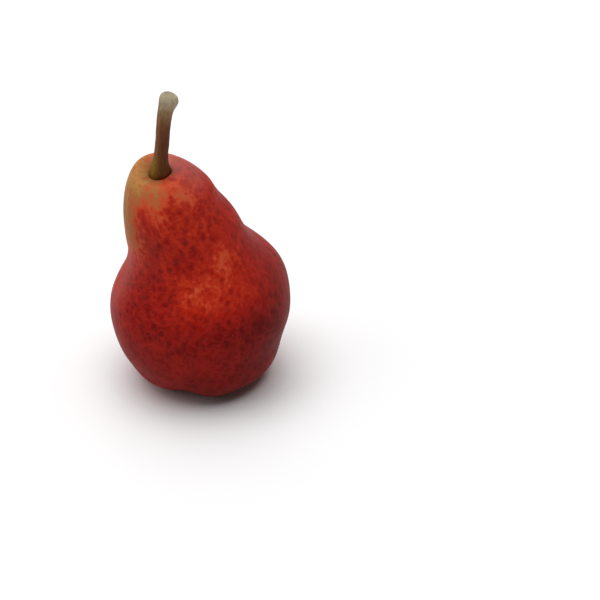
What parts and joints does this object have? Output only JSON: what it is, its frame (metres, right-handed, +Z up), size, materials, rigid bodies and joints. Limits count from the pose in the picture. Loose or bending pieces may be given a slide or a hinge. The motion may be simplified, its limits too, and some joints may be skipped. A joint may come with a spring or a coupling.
{
  "type": "pear",
  "caption": "Red dessert pear with a leaning neck, a full body and a curved woody stalk, standing on the lobes round its blossom end.",
  "frame": {"origin": "middle of the pear's outline seen from above, on the surface it stands on", "axes": "+Z up, +X to the right and +Y away from the viewer, with the neck leaning to the front left"},
  "size_m": [0.0656, 0.0656, 0.1183],
  "materials": {
    "skin": "waxy satin fruit skin, mottled crimson over orange, with fine pale dots",
    "stalk": "dry woody stalk, olive at the foot, brown along its length, grey tan at the knob",
    "calyx": "dry, dark brown, withered"
  },
  "bodies": {
    "root": {"flesh": "skin", "stalk": "stalk", "calyx": "calyx"}
  },
  "joints": []
}
